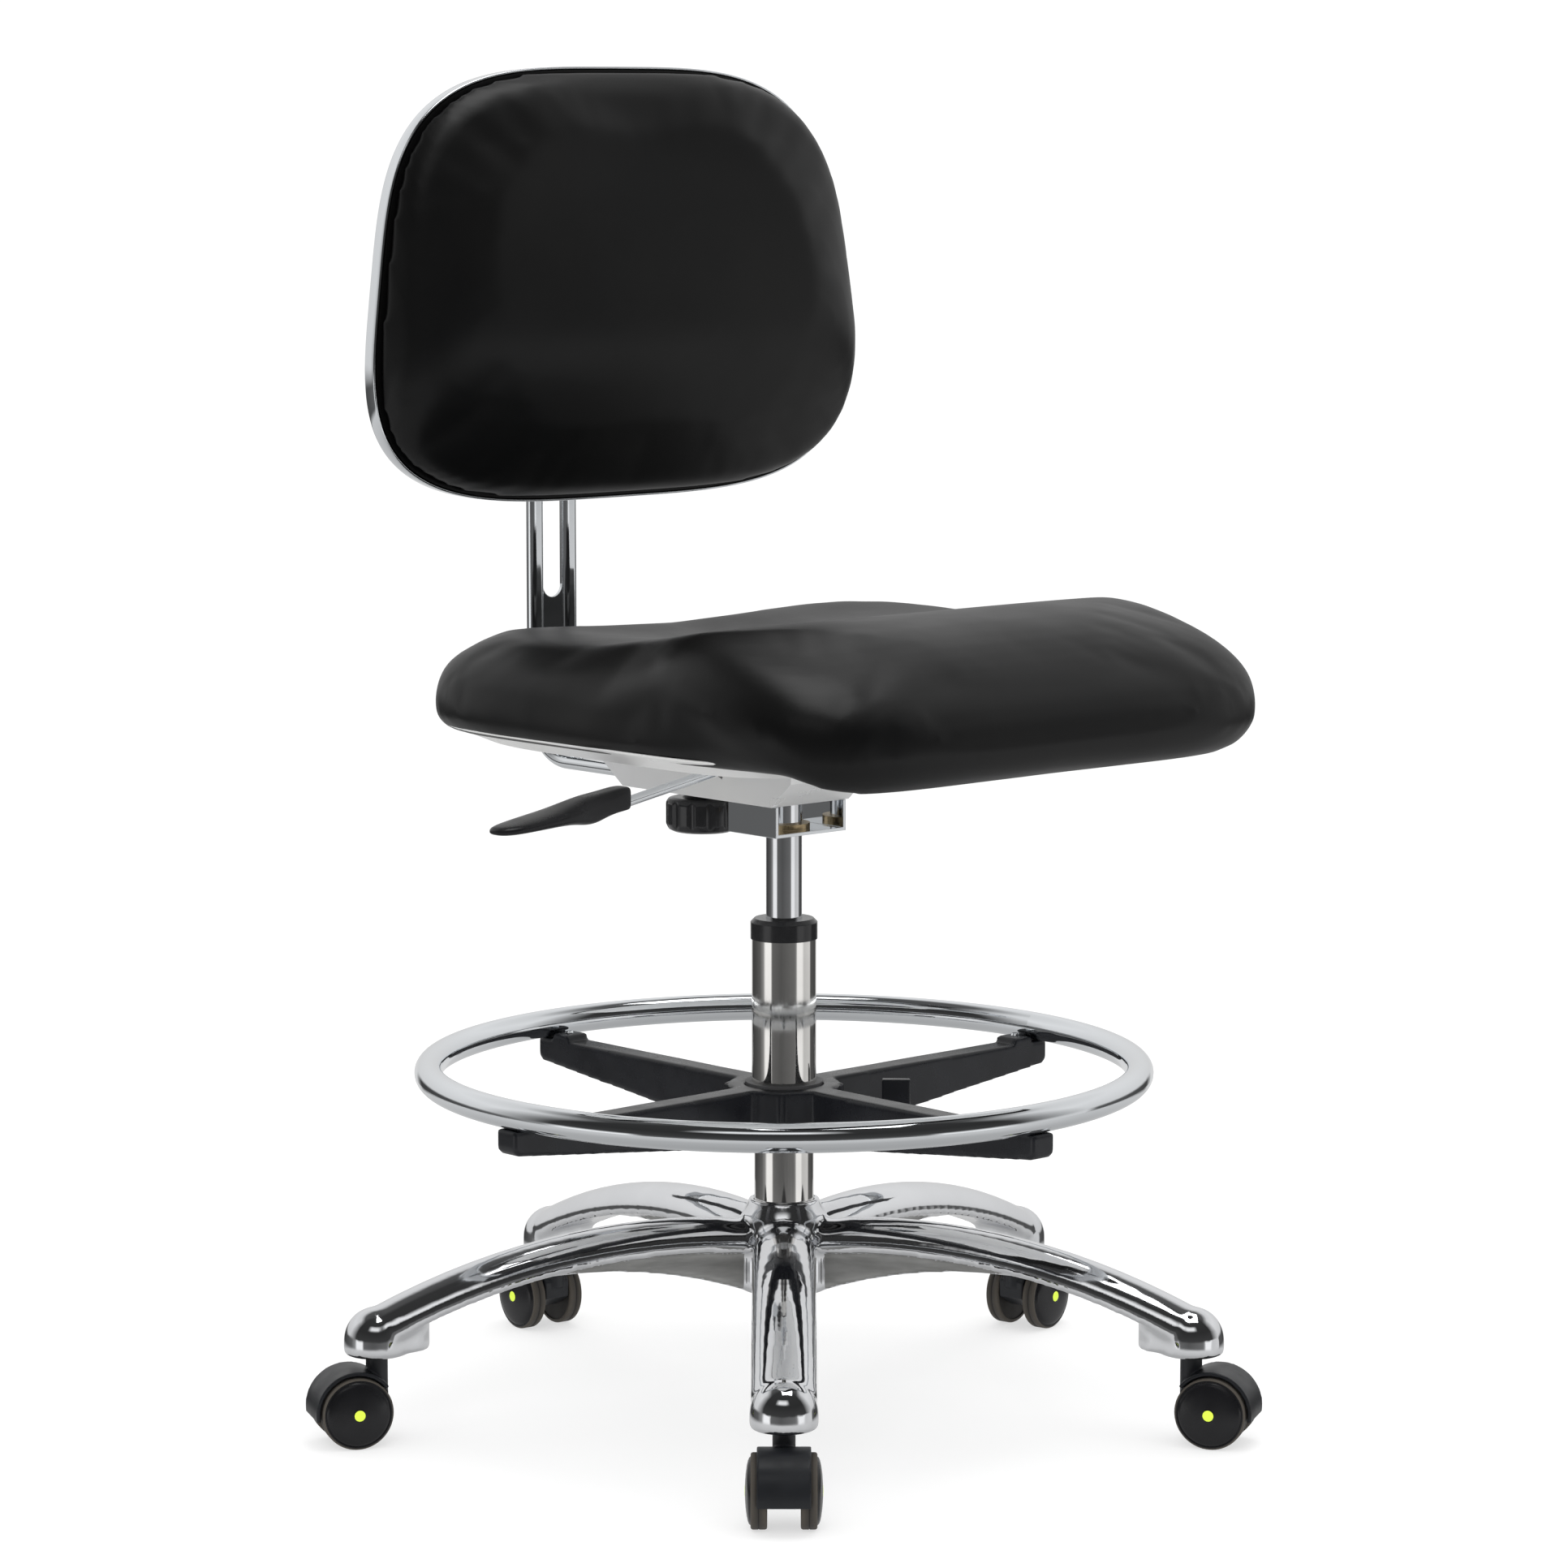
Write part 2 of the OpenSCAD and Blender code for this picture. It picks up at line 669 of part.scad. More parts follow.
// One wheel with a domed cap, on the side s = 1 or -1
module caster_wheel(s) {
    in = wheel_gap / 2;
    out = in + wheel_w;
    color([0.1, 0.1, 0.11]) translate([caster_trail, 0, wheel_r]) rotate([-90 * s, 0, 0]) rotate_extrude($fn = 96)
        polygon([
            [axle_r + run_gap, in], [wheel_r - 1.5, in], [wheel_r, in + 1.5], [wheel_r, in + 10],
            [wheel_r - 1.2, in + 11.5], [20, out - 1.8], [12, out - 0.5], [0, out],
            [0, 22.5], [axle_r + run_gap, 22.5]
        ]);
}

base_star();
column_tube();
column_collar();
thrust_bearing();
piston_rod();
piston_head();
pressure_tube();
lift_washer();
seat_channel();
mechanism_housing();
tube_socket();
seat_plate();
seat_bolts();
seat_pan();
seat_cushion();
lever_bracket();
lever_pin();
clamp_strap();
lever_rod();
lever_paddle();
valve_pin();
back_bar();
depth_knob();
depth_stud();
back_bracket();
back_clamp_plate();
back_shell();
back_board();
back_cushion();
height_knob();
ring_tube();
ring_spider();
ring_bush();
ring_screws();
ring_clamp_lever();
on_leg(1) caster_stem();  // caster_1_stem
on_leg(1) caster_hood();  // caster_1_hood
on_leg(1) caster_axle();  // caster_1_axle
on_leg(1) caster_wheel(1);  // caster_1_wheel_l
on_leg(1) caster_wheel(-1);  // caster_1_wheel_r
on_leg(2) caster_stem();  // caster_2_stem
on_leg(2) caster_hood();  // caster_2_hood
on_leg(2) caster_axle();  // caster_2_axle
on_leg(2) caster_wheel(1);  // caster_2_wheel_l
on_leg(2) caster_wheel(-1);  // caster_2_wheel_r
on_leg(3) caster_stem();  // caster_3_stem
on_leg(3) caster_hood();  // caster_3_hood
on_leg(3) caster_axle();  // caster_3_axle
on_leg(3) caster_wheel(1);  // caster_3_wheel_l
on_leg(3) caster_wheel(-1);  // caster_3_wheel_r
on_leg(4) caster_stem();  // caster_4_stem
on_leg(4) caster_hood();  // caster_4_hood
on_leg(4) caster_axle();  // caster_4_axle
on_leg(4) caster_wheel(1);  // caster_4_wheel_l
on_leg(4) caster_wheel(-1);  // caster_4_wheel_r
on_leg(5) caster_stem();  // caster_5_stem
on_leg(5) caster_hood();  // caster_5_hood
on_leg(5) caster_axle();  // caster_5_axle
on_leg(5) caster_wheel(1);  // caster_5_wheel_l
on_leg(5) caster_wheel(-1);  // caster_5_wheel_r
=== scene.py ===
"""Looks of the drafting chair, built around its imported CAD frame. Metres, +Z up, the chair faces -Y."""
import math

import bmesh
import bpy
import numpy as np
from mathutils import Matrix, Vector


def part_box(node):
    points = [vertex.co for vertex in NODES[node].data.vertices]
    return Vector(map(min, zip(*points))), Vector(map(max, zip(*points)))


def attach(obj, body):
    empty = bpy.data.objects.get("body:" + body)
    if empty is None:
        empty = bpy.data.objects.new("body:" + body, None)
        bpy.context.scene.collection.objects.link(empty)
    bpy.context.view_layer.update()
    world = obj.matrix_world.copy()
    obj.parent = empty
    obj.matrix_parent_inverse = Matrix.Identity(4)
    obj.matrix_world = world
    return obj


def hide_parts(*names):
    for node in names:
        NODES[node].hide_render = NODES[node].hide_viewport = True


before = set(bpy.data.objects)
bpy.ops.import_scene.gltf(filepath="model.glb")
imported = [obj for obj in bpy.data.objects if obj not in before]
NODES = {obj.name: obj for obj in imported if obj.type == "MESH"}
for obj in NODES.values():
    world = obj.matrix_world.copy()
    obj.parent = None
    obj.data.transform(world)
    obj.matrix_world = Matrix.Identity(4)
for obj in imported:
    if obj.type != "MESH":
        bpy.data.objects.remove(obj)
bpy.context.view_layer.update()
MM = 0.001
CASTERS = range(1, 6)


# --- Small helpers ---------------------------------------------------------

def smooth_step(value, low, high):
    """0 below low, 1 above high, and a smooth rise between them."""
    t = np.clip((value - low) / (high - low), 0.0, 1.0)
    return t * t * (3 - 2 * t)


def bump_at(x, y, centre, spread):
    """A bell of height 1 at centre, with a spread along x and along y."""
    return np.exp(-((x - centre[0]) / spread[0]) ** 2 - ((y - centre[1]) / spread[1]) ** 2)


def soft_power(value, squareness):
    """value, which runs from -1 to 1, as a coordinate of a superellipse."""
    return math.copysign(abs(value) ** (2 / squareness), value)


def outline(half_width, half_length, squareness, taper=1.0, steps=144):
    """The rounded outline that the CAD solids use, as (x, y) pairs anticlockwise from +x."""
    points = []
    for i in range(steps):
        angle = 2 * math.pi * i / steps
        u = soft_power(math.cos(angle), squareness)
        v = soft_power(math.sin(angle), squareness)
        points.append((half_width * u * (1 - (1 - taper) * (v + 1) / 2), half_length * v))
    return np.array(points)


def new_object(name, data):
    obj = bpy.data.objects.new(name, data)
    bpy.context.scene.collection.objects.link(obj)
    return obj


def face_outwards(mesh):
    bm = bmesh.new()
    bm.from_mesh(mesh)
    bmesh.ops.recalc_face_normals(bm, faces=bm.faces)
    bm.to_mesh(mesh)
    bm.free()


def ring_faces(rings, around, start=0):
    """Quads between rings of points that each go once around."""
    faces = []
    for r in range(rings - 1):
        for i in range(around):
            j = (i + 1) % around
            a = start + r * around
            faces.append((a + i, a + j, a + around + j, a + around + i))
    return faces


def closed_loft(name, rings):
    """A closed skin over rings of points, with its two ends filled by fans."""
    around = len(rings[0])
    vertices = [p for ring in rings for p in ring]
    faces = ring_faces(len(rings), around)
    for ring_start, points in ((0, rings[0]), ((len(rings) - 1) * around, rings[-1])):
        centre = len(vertices)
        vertices.append(tuple(np.mean(np.array(points), axis=0)))
        faces += [(ring_start + i, ring_start + (i + 1) % around, centre) for i in range(around)]
    mesh = bpy.data.meshes.new(name)
    mesh.from_pydata([tuple(v) for v in vertices], [], faces)
    mesh.validate()
    face_outwards(mesh)
    mesh.shade_smooth()
    return mesh


def apply_modifiers(obj):
    """Bakes the modifiers of obj into its mesh."""
    graph = bpy.context.evaluated_depsgraph_get()
    mesh = bpy.data.meshes.new_from_object(obj.evaluated_get(graph))
    obj.modifiers.clear()
    obj.data = mesh


def add_ease(obj, passes):
    """A smoothing modifier of so many passes."""
    ease = obj.modifiers.new("ease", "SMOOTH")
    ease.factor = 0.5
    ease.iterations = passes


def add_division(obj, levels):
    divide = obj.modifiers.new("divide", "SUBSURF")
    divide.levels = levels
    divide.render_levels = levels


def remeshed(obj, voxel, passes):
    """Rebuilds the mesh of obj from voxels and smooths it."""
    remesh = obj.modifiers.new("remesh", "REMESH")
    remesh.mode = "VOXEL"
    remesh.voxel_size = voxel
    add_ease(obj, passes)
    apply_modifiers(obj)


def points_of(obj):
    co = np.zeros(len(obj.data.vertices) * 3)
    obj.data.vertices.foreach_get("co", co)
    return co.reshape(-1, 3)


def set_points(obj, co):
    obj.data.vertices.foreach_set("co", np.ascontiguousarray(co, dtype=np.float32).ravel())
    obj.data.update()


# --- Camera ----------------------------------------------------------------

AZIMUTH = math.radians(-42)
ELEVATION = math.radians(7.5)
DISTANCE = 4.0
LOOK_AT = Vector((0, 0, 0.492))
FOCAL_LENGTH = 119.3
SENSOR_WIDTH = 36

camera_data = bpy.data.cameras.new("camera")
camera_data.lens = FOCAL_LENGTH
camera_data.sensor_width = SENSOR_WIDTH
camera = new_object("camera", camera_data)
towards_camera = Vector((
    math.sin(AZIMUTH) * math.cos(ELEVATION), -math.cos(AZIMUTH) * math.cos(ELEVATION), math.sin(ELEVATION)))
camera.location = LOOK_AT + towards_camera * DISTANCE
camera.rotation_euler = (-towards_camera).to_track_quat("-Z", "Y").to_euler()
bpy.context.scene.camera = camera


# --- Materials -------------------------------------------------------------

class Finish:
    """A node material that its methods add to, step by step."""

    def __init__(self, name, color, metallic, roughness, specular=0.5):
        self.material = bpy.data.materials.new(name)
        self.material.use_nodes = True
        self.material.diffuse_color = (*color, 1)
        self.nodes = self.material.node_tree.nodes
        self.links = self.material.node_tree.links
        self.shader = self.nodes["Principled BSDF"]
        self.shader.inputs["Base Color"].default_value = (*color, 1)
        self.shader.inputs["Metallic"].default_value = metallic
        self.shader.inputs["Roughness"].default_value = roughness
        self.shader.inputs["Specular IOR Level"].default_value = specular
        self.place = self.nodes.new("ShaderNodeTexCoord")
        self.color = color
        self.normal = None

    def noise(self, scale, detail, stretch=(1, 1, 1)):
        mapping = self.nodes.new("ShaderNodeMapping")
        mapping.inputs["Scale"].default_value = stretch
        texture = self.nodes.new("ShaderNodeTexNoise")
        texture.inputs["Scale"].default_value = scale
        texture.inputs["Detail"].default_value = detail
        self.links.new(self.place.outputs["Object"], mapping.inputs["Vector"])
        self.links.new(mapping.outputs["Vector"], texture.inputs["Vector"])
        return texture.outputs["Fac"]

    def cells(self, scale):
        texture = self.nodes.new("ShaderNodeTexVoronoi")
        texture.feature = "SMOOTH_F1"
        texture.inputs["Scale"].default_value = scale
        self.links.new(self.place.outputs["Object"], texture.inputs["Vector"])
        return texture.outputs["Distance"]

    def ranged(self, value, low, high, from_low=0.3, from_high=0.7):
        node = self.nodes.new("ShaderNodeMapRange")
        node.inputs["From Min"].default_value = from_low
        node.inputs["From Max"].default_value = from_high
        node.inputs["To Min"].default_value = low
        node.inputs["To Max"].default_value = high
        self.links.new(value, node.inputs["Value"])
        return node.outputs["Result"]

    def rough(self, value, low, high):
        """Varies the roughness from low to high."""
        self.links.new(self.ranged(value, low, high), self.shader.inputs["Roughness"])

    def tint(self, value, other, from_low=0.35, from_high=0.7):
        """Mixes another colour in as value rises."""
        mix = self.nodes.new("ShaderNodeMix")
        mix.data_type = "RGBA"
        mix.inputs["A"].default_value = (*self.color, 1)
        mix.inputs["B"].default_value = (*other, 1)
        self.links.new(self.ranged(value, 0, 1, from_low, from_high), mix.inputs["Factor"])
        self.links.new(mix.outputs["Result"], self.shader.inputs["Base Color"])

    def worn_edges(self, other):
        """Mixes another colour in on the convex edges."""
        geometry = self.nodes.new("ShaderNodeNewGeometry")
        self.tint(geometry.outputs["Pointiness"], other, 0.52, 0.6)

    def bump(self, value, strength, depth):
        """Adds a bump of so many metres on top of the earlier ones."""
        node = self.nodes.new("ShaderNodeBump")
        node.inputs["Strength"].default_value = strength
        node.inputs["Distance"].default_value = depth
        self.links.new(value, node.inputs["Height"])
        if self.normal is not None:
            self.links.new(self.normal, node.inputs["Normal"])
        self.normal = node.outputs["Normal"]
        self.links.new(self.normal, self.shader.inputs["Normal"])

    def eased_edges(self, radius):
        """Rounds the look of sharp machined edges, before any bump is added."""
        node = self.nodes.new("ShaderNodeBevel")
        node.samples = 6
        node.inputs["Radius"].default_value = radius
        self.normal = node.outputs["Normal"]
        self.links.new(self.normal, self.shader.inputs["Normal"])


def vinyl():
    finish = Finish("vinyl", (0.0024, 0.0025, 0.0027), 0.0, 0.42, specular=0.30)
    finish.rough(finish.noise(14, 4), 0.36, 0.43)
    finish.tint(finish.noise(9, 3), (0.0034, 0.0033, 0.0032))
    finish.bump(finish.noise(22, 2), 0.10, 0.0012)
    finish.bump(finish.cells(1150), 0.22, 0.00012)
    finish.bump(finish.noise(2600, 2), 0.10, 0.00006)
    return finish


def chrome():
    color = (0.86, 0.885, 0.91)
    finish = Finish("chrome", color, 1.0, 0.05)
    finish.eased_edges(0.0007)
    finish.rough(finish.noise(38, 5), 0.03, 0.065)
    finish.tint(finish.noise(6, 4), tuple(0.95 * c for c in color))
    finish.bump(finish.noise(45, 2), 0.05, 0.0006)
    finish.bump(finish.noise(900, 2), 0.03, 0.00003)
    return finish


def zinc():
    """Pale zinc plating, half matt."""
    finish = Finish("zinc_plate", (0.80, 0.80, 0.79), 0.45, 0.3)
    finish.eased_edges(0.0006)
    finish.rough(finish.noise(30, 3), 0.27, 0.32)
    finish.tint(finish.noise(9, 3), (0.76, 0.765, 0.77))
    finish.bump(finish.noise(1800, 2), 0.05, 0.00002)
    return finish


def polished_cast():
    finish = Finish("polished_aluminium", (0.84, 0.85, 0.87), 1.0, 0.08)
    finish.rough(finish.noise(30, 5), 0.045, 0.10)
    finish.tint(finish.noise(11, 4), (0.78, 0.79, 0.81))
    finish.bump(finish.noise(26, 2), 0.16, 0.0012)
    finish.bump(finish.noise(1400, 2), 0.05, 0.00003)
    return finish


def ground_cast():
    """The belt-ground flank under each leg."""
    finish = Finish("ground_aluminium", (0.50, 0.50, 0.49), 1.0, 0.42)
    finish.rough(finish.noise(60, 4, (1, 1, 9)), 0.34, 0.52)
    finish.tint(finish.noise(24, 5, (1, 1, 4)), (0.36, 0.36, 0.35))
    finish.bump(finish.noise(420, 3, (1, 1, 7)), 0.25, 0.00012)
    return finish


def drawn_steel(name, color, low, high, along=(1, 1, 0.02)):
    """Metal with fine lines along one axis, its roughness from low to high."""
    finish = Finish(name, color, 1.0, (low + high) / 2)
    finish.eased_edges(0.0004)
    finish.rough(finish.noise(1400, 3, along), low, high)
    finish.tint(finish.noise(18, 4), tuple(0.86 * c for c in color))
    finish.bump(finish.noise(2600, 2, along), 0.12, 0.00002)
    return finish


def moulded(name, color, low, high, grain=0.00006, edge=0.0006, worn=None, specular=0.4):
    """Injection-moulded plastic with a fine spark-eroded grain."""
    finish = Finish(name, color, 0.0, (low + high) / 2, specular=specular)
    finish.eased_edges(edge)
    finish.rough(finish.noise(55, 4), low, high)
    if worn:
        finish.worn_edges(worn)
    else:
        finish.tint(finish.noise(35, 4), tuple(1.5 * c for c in color))
    finish.bump(finish.noise(2300, 3), 0.22, grain)
    return finish


VINYL = vinyl().material
CHROME = chrome().material
POLISHED = polished_cast().material
GROUND = ground_cast().material
STAINLESS = drawn_steel("stainless", (0.86, 0.845, 0.82), 0.04, 0.08).material
BRIGHT_TUBE = drawn_steel("bright_tube", (0.80, 0.81, 0.83), 0.05, 0.10).material
BEARING = drawn_steel("bearing_steel", (0.42, 0.42, 0.43), 0.22, 0.36).material
PLATED = zinc().material
BRASS = drawn_steel("brass", (0.56, 0.43, 0.25), 0.25, 0.4, (1, 1, 0.2)).material
BLACK_PLASTIC = moulded("black_plastic", (0.006, 0.006, 0.007), 0.24, 0.34, specular=0.32).material
GLOSS_PLASTIC = moulded(
    "gloss_black_plastic", (0.010, 0.010, 0.011), 0.14, 0.24, 0.00003, specular=0.5).material
SPIDER_PLASTIC = moulded("spider_plastic", (0.007, 0.0075, 0.0095), 0.24, 0.32).material
GREY_PLASTIC = moulded("grey_plastic", (0.05, 0.05, 0.052), 0.4, 0.55).material
BRACKET_PAINT = moulded("bracket_paint", (0.022, 0.022, 0.024), 0.34, 0.45, 0.0001).material
HOOD_PLASTIC = moulded("hood_plastic", (0.008, 0.009, 0.011), 0.32, 0.44, 0.0001, 0.0008).material
TREAD = moulded("tread", (0.022, 0.020, 0.018), 0.45, 0.65, 0.00012, 0.0005, (0.13, 0.11, 0.085)).material
WHEEL_CAP = moulded("wheel_cap", (0.006, 0.006, 0.007), 0.20, 0.32, 0.00004).material
DOT = moulded("dot_paint", (0.62, 0.80, 0.06), 0.35, 0.5).material

NODE_FINISH = {
    "column_tube": STAINLESS, "pressure_tube": BRIGHT_TUBE,
    "column_collar": GLOSS_PLASTIC, "depth_knob": GLOSS_PLASTIC, "height_knob": GLOSS_PLASTIC,
    "ring_spider": SPIDER_PLASTIC, "ring_clamp_lever": SPIDER_PLASTIC, "lever_paddle": BLACK_PLASTIC,
    "ring_bush": GREY_PLASTIC, "back_bracket": BRACKET_PAINT,
    "thrust_bearing": BEARING, "piston_rod": BEARING, "piston_head": BEARING,
    "lever_bracket": BEARING, "clamp_strap": BEARING, "tube_socket": BEARING,
    "mechanism_housing": PLATED, "seat_plate": PLATED, "seat_pan": PLATED,
    "lift_washer": BRASS, "valve_pin": BRASS, "back_board": VINYL,
    "base_star": POLISHED, "seat_cushion": VINYL, "back_cushion": VINYL,
}


def node_finish(name):
    """The finish of a CAD node. What isn't listed is chrome."""
    if name.startswith("caster_"):
        kind = name.split("_")[2]
        return {"hood": HOOD_PLASTIC, "wheel": TREAD}.get(kind, BEARING)
    return NODE_FINISH.get(name, CHROME)


def paint(obj, *materials):
    obj.data.materials.clear()
    for material in materials:
        obj.data.materials.append(material)


for node_name, node_object in NODES.items():
    paint(node_object, node_finish(node_name))


# --- Moulded and cast parts, softened from their CAD shape ------------------

def softened(node, name, body, slot, voxel, passes, *finishes):
    """A copy of a CAD node with its edges and inner corners rounded as a mould or casting rounds them."""
    piece = new_object(name, NODES[node].data.copy())
    remeshed(piece, voxel, passes)
    piece.data.shade_smooth()
    paint(piece, *(finishes or (node_finish(node),)))
    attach(piece, body)
    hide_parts(node)
    return piece


LEGS = 5
BASE_TURN = math.radians(228)
LEG_ANGLES = [BASE_TURN + math.radians(360 / LEGS) * i for i in range(LEGS)]
HUB_R = 0.037
BOSS_START = 0.285
# Half the width of a leg's web, with a little to spare
WEB_HALF = 0.0145
# The arc of the legs' upper edge: its radius, the reach of its middle, and its highest point
LEG_ARC_R = 0.555
LEG_ARC_OUT = 0.09
LEG_TOP_Z = 0.157
# The cap's depth, and how squarely a face has to look sideways to be part of the flank
CAP_DEPTH = 0.022
FLANK_FACING = 0.75


def face_values(mesh, field):
    """One vector for each face of mesh: its center or its normal."""
    values = np.zeros(len(mesh.polygons) * 3)
    mesh.polygons.foreach_get(field, values)
    return values.reshape(-1, 3)


def cast_base():
    """The five-star casting: polished caps, with the ground flank of each leg as a second material."""
    star = softened(
        "base_star", "base_casting", "base", "polished_aluminium", 0.0021, 9, POLISHED, GROUND)
    centres = face_values(star.data, "center")
    normals = face_values(star.data, "normal")
    index = np.zeros(len(centres), dtype=np.int32)
    for angle in LEG_ANGLES:
        along = np.array([math.cos(angle), math.sin(angle), 0])
        across = np.array([-math.sin(angle), math.cos(angle), 0])
        out = centres @ along
        side = centres @ across
        arc = np.sqrt(np.maximum(LEG_ARC_R ** 2 - (out - LEG_ARC_OUT) ** 2, 0))
        leg_top = LEG_TOP_Z - LEG_ARC_R + arc
        flank = (
            (out > HUB_R) & (out < BOSS_START) & (np.abs(side) < WEB_HALF)
            & (np.abs(normals @ across) > FLANK_FACING) & (centres[:, 2] < leg_top - CAP_DEPTH)
        )
        index[flank] = 1
    star.data.polygons.foreach_set("material_index", index)


cast_base()
softened("ring_spider", "ring_spider_moulding", "foot_ring", "black_plastic", 0.0016, 5)
softened("ring_clamp_lever", "ring_clamp_tab", "ring_clamp", "black_plastic", 0.0009, 4)
softened("depth_knob", "depth_knob_moulding", "depth_knob", "black_plastic", 0.0008, 3)
for i in CASTERS:
    softened(f"caster_{i}_hood", f"caster_{i}_fender", f"caster_{i}", "caster_black", 0.0009, 4)


# --- Caster wheels ----------------------------------------------------------

# Radius, distance from the middle of the pair, and material: 0 tread, 1 cap, 2 dot. Millimetres
WHEEL_PROFILE = [
    (3.1, 12, 0), (9, 12, 0), (9.5, 13, 0), (24, 13, 0), (24.6, 12, 0), (26, 12, 0), (27, 12.5, 0),
    (27.5, 13.5, 0), (27.5, 17.6, 0), (27.0, 18.1, 0), (27.5, 18.6, 0), (27.5, 22.3, 0),
    (27.1, 23.3, 0), (26.2, 23.9, 0), (25.2, 23.9, 1), (24.9, 23.5, 1), (24.5, 23.9, 1),
    (23.6, 25.0, 1), (21.5, 25.9, 1), (18, 26.7, 1), (12, 27.5, 1), (6, 27.9, 1), (4.2, 27.95, 1),
    (3.9, 28.1, 2), (2.0, 28.15, 2),
]
DOT_PEAK = 28.2 * MM
WHEEL_BORE = (3.1, 22.6)


def circle(r, z, around):
    """Points on a circle about Z, from millimetres."""
    turns = [2 * math.pi * i / around for i in range(around)]
    return [(r * MM * math.cos(turn), r * MM * math.sin(turn), z * MM) for turn in turns]


def wheel_mesh():
    """A wheel about the local Z axis, its cap towards +Z: a tread band, a step, and a domed cap."""
    around = 72
    vertices = []
    for r, z, _ in WHEEL_PROFILE:
        vertices += circle(r, z, around)
    faces = ring_faces(len(WHEEL_PROFILE), around)
    kinds = [WHEEL_PROFILE[k // around + 1][2] for k in range(len(faces))]
    top = len(vertices)
    vertices.append((0, 0, DOT_PEAK))
    last = (len(WHEEL_PROFILE) - 1) * around
    faces += [(last + i, last + (i + 1) % around, top) for i in range(around)]
    kinds += [2] * around
    # A blind bore closes the wheel on the axle side
    bottom = len(vertices)
    vertices += circle(*WHEEL_BORE, around)
    faces += [(bottom + i, bottom + (i + 1) % around, (i + 1) % around, i) for i in range(around)]
    faces.append(tuple(range(bottom, bottom + around)))
    kinds += [0] * (around + 1)
    mesh = bpy.data.meshes.new("caster_wheel")
    mesh.from_pydata(vertices, [], faces)
    mesh.polygons.foreach_set("material_index", kinds)
    for material in (TREAD, WHEEL_CAP, DOT):
        mesh.materials.append(material)
    face_outwards(mesh)
    mesh.shade_smooth()
    mesh.set_sharp_from_angle(angle=math.radians(50))
    return mesh


WHEEL = wheel_mesh()
# The stem's distance from the column, and how far the axle trails it
AXLE_REACH = (326 + 20) * MM
WHEEL_R = 27.5 * MM
for i in CASTERS:
    angle = LEG_ANGLES[i - 1]
    centre = Vector((AXLE_REACH * math.cos(angle), AXLE_REACH * math.sin(angle), WHEEL_R))
    across = Vector((-math.sin(angle), math.cos(angle), 0))
    for side, sign in (("l", 1), ("r", -1)):
        wheel = new_object(f"caster_{i}_twin_wheel_{side}", WHEEL)
        facing = (across * sign).to_track_quat("Z", "Y").to_matrix().to_4x4()
        wheel.matrix_world = Matrix.Translation(centre) @ facing
        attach(wheel, f"caster_{i}_wheel_{side}")
        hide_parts(f"caster_{i}_wheel_{side}")


# --- Cushions ----------------------------------------------------------------

VOXEL = 0.0055
VOXEL_PASSES = 2
# How far the outline is drawn in to leave room for the swelling, and the most that a point may move
SWELL = 4 * MM
SWELL_LIMIT = 0.006
CLOTH_FRAMES = 20
EVENING_PASSES = 60
CREASE_SHARE = 0.22


def averaged(obj, field, free, passes):
    """A vector per vertex, averaged with its neighbours; it stays zero on the vertices that aren't free."""
    ends = np.zeros(len(obj.data.edges) * 2, dtype=np.int32)
    obj.data.edges.foreach_get("vertices", ends)
    a, b = ends.reshape(-1, 2).T
    count = np.bincount(a, minlength=len(field)) + np.bincount(b, minlength=len(field))
    for _ in range(passes):
        total = np.zeros_like(field)
        np.add.at(total, a, field[b])
        np.add.at(total, b, field[a])
        field = (field + total / np.maximum(count, 1)[:, None]) / 2 * free[:, None]
    return field


def inflate(obj, pinned):
    """Swells a remeshed shell with Cloth, keeps a share of its creases, and limits how far a point moves."""
    rest = points_of(obj)
    held = pinned(rest)
    hold = obj.vertex_groups.new(name="hold")
    hold.add([int(i) for i in np.nonzero(held)[0]], 1.0, "REPLACE")
    cloth = obj.modifiers.new("cloth", "CLOTH")
    settings = cloth.settings
    settings.quality = 5
    settings.mass = 0.4
    settings.tension_stiffness = 25
    settings.compression_stiffness = 25
    settings.bending_stiffness = 2
    settings.use_pressure = True
    settings.uniform_pressure_force = 4.0
    settings.vertex_group_mass = "hold"
    settings.effector_weights.gravity = 0
    cloth.collision_settings.use_collision = False
    scene = bpy.context.scene
    cloth.point_cache.frame_start = 1
    cloth.point_cache.frame_end = CLOTH_FRAMES
    for step in range(1, CLOTH_FRAMES + 1):
        scene.frame_set(step)
    apply_modifiers(obj)
    scene.frame_set(1)
    shift = points_of(obj) - rest
    even = averaged(obj, shift, (~held).astype(float), EVENING_PASSES)
    shift = even + CREASE_SHARE * (shift - even)
    length = np.linalg.norm(shift, axis=1, keepdims=True)
    set_points(obj, rest + shift * np.minimum(1.0, SWELL_LIMIT / np.maximum(length, 1e-9)))


def finish_cushion(obj, body, node):
    add_ease(obj, 4)
    add_division(obj, 1)
    apply_modifiers(obj)
    obj.data.shade_smooth()
    paint(obj, VINYL)
    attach(obj, body)
    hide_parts(node)


def shares_inwards(rings, crowding):
    """Shares of the way from the edge to the middle, crowded at the edge."""
    return [(k / (rings - 1)) ** crowding * 0.985 for k in range(1, rings)]


def rounded(depth, power):
    """How far a rounded shoulder has risen at a depth from 0 to 1 in from the edge."""
    return (1 - (1 - depth) ** power) ** (1 / power)


seat_low, seat_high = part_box("seat_cushion")
SEAT_MID = (seat_low + seat_high) / 2
SEAT_HALF = (seat_high - seat_low) / 2
SEAT_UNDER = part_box("seat_pan")[1].z
SEAT_LIP = seat_low.z
SEAT_FRONT = SEAT_MID.y - SEAT_HALF.y
SEAT_LEVEL = 0.610
